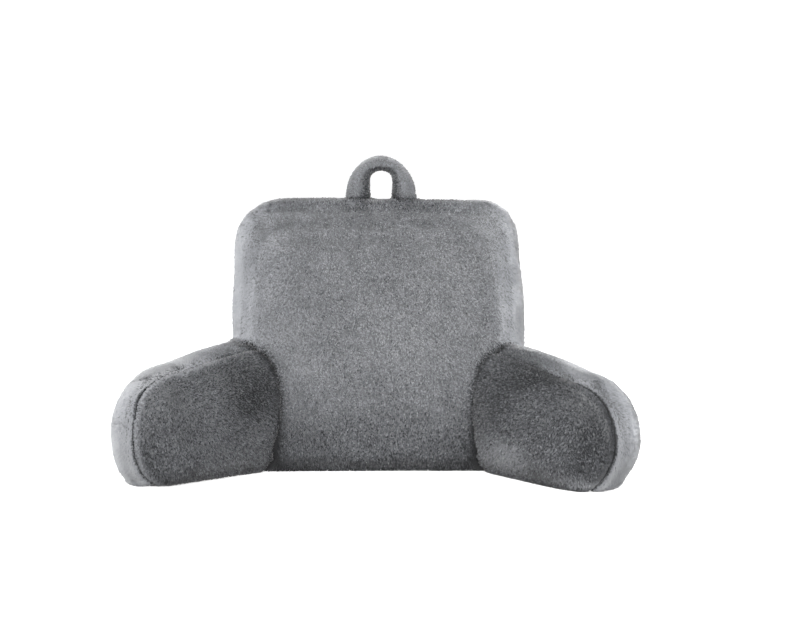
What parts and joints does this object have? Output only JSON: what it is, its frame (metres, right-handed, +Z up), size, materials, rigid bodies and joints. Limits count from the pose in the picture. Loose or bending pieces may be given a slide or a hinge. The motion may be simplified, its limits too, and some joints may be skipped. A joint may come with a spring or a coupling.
{
  "type": "backrest pillow",
  "caption": "Plush backrest pillow that stands up, with a thick filled back, splayed filled arms and a padded carrying loop on top.",
  "frame": {"origin": "middle of the back's flat base, where it rests", "axes": "+Z up; the sitter faces -Y, so the back is behind +Y of the arms; +X runs along the width, to the right as seen from the front"},
  "size_m": [0.8238, 0.3235, 0.5115],
  "materials": {
    "plush": "short brushed plush, matt"
  },
  "bodies": {
    "root": {"back_cushion": "plush", "arm_left": "plush", "arm_right": "plush", "carry_loop": "plush"}
  },
  "joints": []
}
